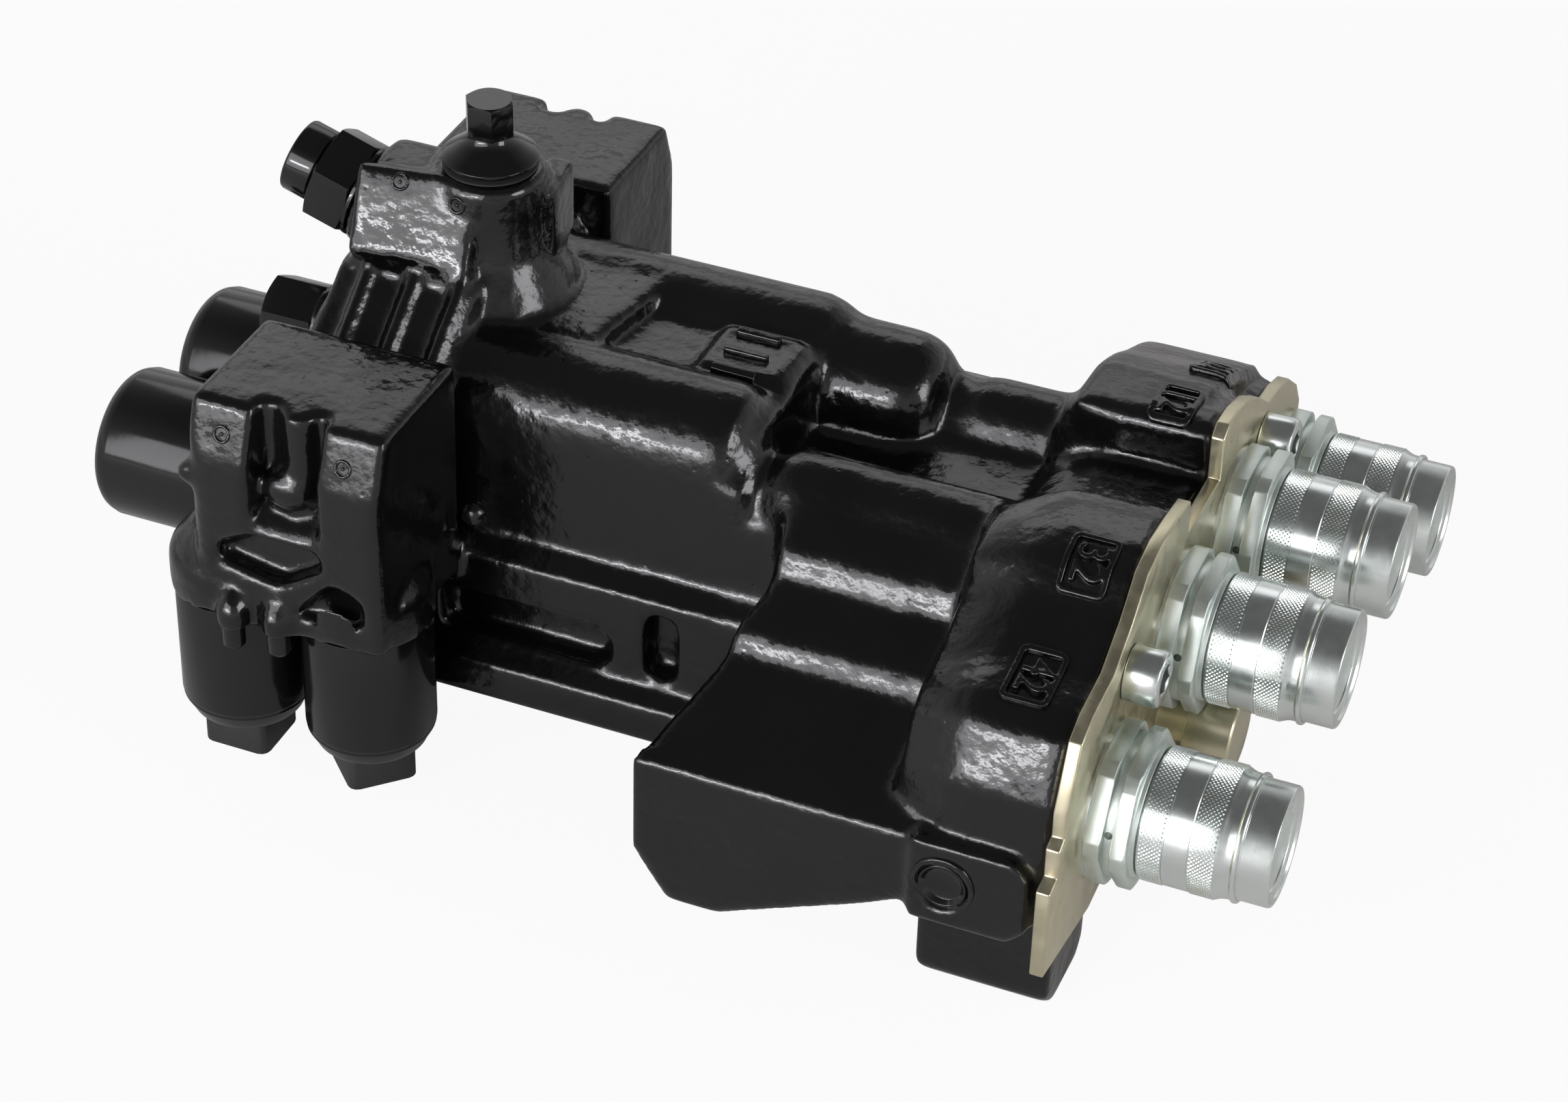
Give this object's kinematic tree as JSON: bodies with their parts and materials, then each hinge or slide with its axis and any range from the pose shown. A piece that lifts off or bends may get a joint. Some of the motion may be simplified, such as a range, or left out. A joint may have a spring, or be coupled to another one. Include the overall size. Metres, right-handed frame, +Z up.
{
  "type": "loader control valve",
  "caption": "Black cast two-spool hydraulic loader valve with flat-face quick couplers on a plated port plate, pilot solenoids below the rear blocks, relief cartridge and check plug.",
  "frame": {"origin": "under the middle of the part's box, on the surface that its foot stands on", "axes": "+X out through the couplers, along the spools; +Y across towards the side without the wing; +Z up through the check plug"},
  "size_m": [0.388, 0.2372, 0.188],
  "materials": {
    "black_paint": "gloss over a rough cast skin",
    "zinc_plate": "bright zinc plate",
    "yellow_zinc": "yellow passivated zinc plate",
    "ground_steel": "ground",
    "spring_steel": "oiled",
    "black_plastic": "satin",
    "rubber_ring": "satin"
  },
  "bodies": {
    "block": {"valve_body": "black_paint", "retaining_plate": "yellow_zinc", "plate_screws": "zinc_plate", "end_plugs": "yellow_zinc", "bonded_seals": "zinc_plate", "spool_cap_near": "black_paint", "spool_cap_far": "black_paint", "end_seats": "ground_steel", "centring_spring_near": "spring_steel", "centring_spring_far": "spring_steel", "solenoid_can_near_rear": "black_paint", "solenoid_can_near_front": "black_paint", "solenoid_can_far_rear": "black_paint", "solenoid_can_far_front": "black_paint", "solenoid_connectors": "black_plastic", "block_pins": "black_paint", "core_plug": "black_paint", "relief_body": "black_paint", "relief_cap": "black_paint", "relief_spring": "spring_steel", "check_plug": "black_paint", "plug_ring": "rubber_ring", "check_spring": "spring_steel", "rear_plug": "black_paint", "coupler_body_near_outer": "zinc_plate", "nose_ring_near_outer": "zinc_plate", "stem_near_outer": "zinc_plate", "seal_spring_near_outer": "spring_steel", "sleeve_spring_near_outer": "spring_steel", "coupler_body_near_inner": "zinc_plate", "nose_ring_near_inner": "zinc_plate", "stem_near_inner": "zinc_plate", "seal_spring_near_inner": "spring_steel", "sleeve_spring_near_inner": "spring_steel", "coupler_body_far_inner": "zinc_plate", "nose_ring_far_inner": "zinc_plate", "stem_far_inner": "zinc_plate", "seal_spring_far_inner": "spring_steel", "sleeve_spring_far_inner": "spring_steel", "coupler_body_far_outer": "zinc_plate", "nose_ring_far_outer": "zinc_plate", "stem_far_outer": "zinc_plate", "seal_spring_far_outer": "spring_steel", "sleeve_spring_far_outer": "spring_steel"},
    "outer_sleeve_near_outer": {"outer_sleeve_near_outer": "zinc_plate"},
    "seal_sleeve_near_outer": {"seal_sleeve_near_outer": "zinc_plate"},
    "outer_sleeve_near_inner": {"outer_sleeve_near_inner": "zinc_plate"},
    "seal_sleeve_near_inner": {"seal_sleeve_near_inner": "zinc_plate"},
    "outer_sleeve_far_inner": {"outer_sleeve_far_inner": "zinc_plate"},
    "seal_sleeve_far_inner": {"seal_sleeve_far_inner": "zinc_plate"},
    "outer_sleeve_far_outer": {"outer_sleeve_far_outer": "zinc_plate"},
    "seal_sleeve_far_outer": {"seal_sleeve_far_outer": "zinc_plate"},
    "spool_near": {"spool_near": "ground_steel"},
    "spool_far": {"spool_far": "ground_steel"},
    "armature_near_rear": {"armature_near_rear": "ground_steel"},
    "armature_near_front": {"armature_near_front": "ground_steel"},
    "armature_far_rear": {"armature_far_rear": "ground_steel"},
    "armature_far_front": {"armature_far_front": "ground_steel"},
    "relief_poppet": {"relief_poppet": "ground_steel"},
    "check_poppet": {"check_poppet": "ground_steel"}
  },
  "joints": [
    {"name": "outer_sleeve_near_outer_slide", "type": "slide", "parent": "block", "child": "outer_sleeve_near_outer", "axis": [1, 0, 0], "range_m": [0, 0.004], "stiffness_N_per_m": 2000, "deforming": ["sleeve_spring_near_outer"]},
    {"name": "seal_sleeve_near_outer_slide", "type": "slide", "parent": "block", "child": "seal_sleeve_near_outer", "axis": [1, 0, 0], "range_m": [-0.008, 0], "stiffness_N_per_m": 2000, "deforming": ["seal_spring_near_outer"]},
    {"name": "outer_sleeve_near_inner_slide", "type": "slide", "parent": "block", "child": "outer_sleeve_near_inner", "axis": [1, 0, 0], "range_m": [0, 0.004], "stiffness_N_per_m": 2000, "deforming": ["sleeve_spring_near_inner"]},
    {"name": "seal_sleeve_near_inner_slide", "type": "slide", "parent": "block", "child": "seal_sleeve_near_inner", "axis": [1, 0, 0], "range_m": [-0.008, 0], "stiffness_N_per_m": 2000, "deforming": ["seal_spring_near_inner"]},
    {"name": "outer_sleeve_far_inner_slide", "type": "slide", "parent": "block", "child": "outer_sleeve_far_inner", "axis": [1, 0, 0], "range_m": [0, 0.004], "stiffness_N_per_m": 2000, "deforming": ["sleeve_spring_far_inner"]},
    {"name": "seal_sleeve_far_inner_slide", "type": "slide", "parent": "block", "child": "seal_sleeve_far_inner", "axis": [1, 0, 0], "range_m": [-0.008, 0], "stiffness_N_per_m": 2000, "deforming": ["seal_spring_far_inner"]},
    {"name": "outer_sleeve_far_outer_slide", "type": "slide", "parent": "block", "child": "outer_sleeve_far_outer", "axis": [1, 0, 0], "range_m": [0, 0.004], "stiffness_N_per_m": 2000, "deforming": ["sleeve_spring_far_outer"]},
    {"name": "seal_sleeve_far_outer_slide", "type": "slide", "parent": "block", "child": "seal_sleeve_far_outer", "axis": [1, 0, 0], "range_m": [-0.008, 0], "stiffness_N_per_m": 2000, "deforming": ["seal_spring_far_outer"]},
    {"name": "spool_near_slide", "type": "slide", "parent": "block", "child": "spool_near", "axis": [1, 0, 0], "range_m": [-0.0075, 0.0075], "stiffness_N_per_m": 8000, "deforming": ["centring_spring_near"]},
    {"name": "spool_far_slide", "type": "slide", "parent": "block", "child": "spool_far", "axis": [1, 0, 0], "range_m": [-0.0075, 0.0075], "stiffness_N_per_m": 8000, "deforming": ["centring_spring_far"]},
    {"name": "armature_near_rear_slide", "type": "slide", "parent": "block", "child": "armature_near_rear", "axis": [0, 0, 1], "range_m": [0, 0.003]},
    {"name": "armature_near_front_slide", "type": "slide", "parent": "block", "child": "armature_near_front", "axis": [0, 0, 1], "range_m": [0, 0.003]},
    {"name": "armature_far_rear_slide", "type": "slide", "parent": "block", "child": "armature_far_rear", "axis": [0, 0, 1], "range_m": [0, 0.003]},
    {"name": "armature_far_front_slide", "type": "slide", "parent": "block", "child": "armature_far_front", "axis": [0, 0, 1], "range_m": [0, 0.003]},
    {"name": "relief_poppet_slide", "type": "slide", "parent": "block", "child": "relief_poppet", "axis": [-0.9511, 0, 0.309], "range_m": [0, 0.003], "stiffness_N_per_m": 2000, "deforming": ["relief_spring"]},
    {"name": "check_poppet_slide", "type": "slide", "parent": "block", "child": "check_poppet", "axis": [0, 0, 1], "range_m": [0, 0.004], "stiffness_N_per_m": 1000, "deforming": ["check_spring"]}
  ]
}
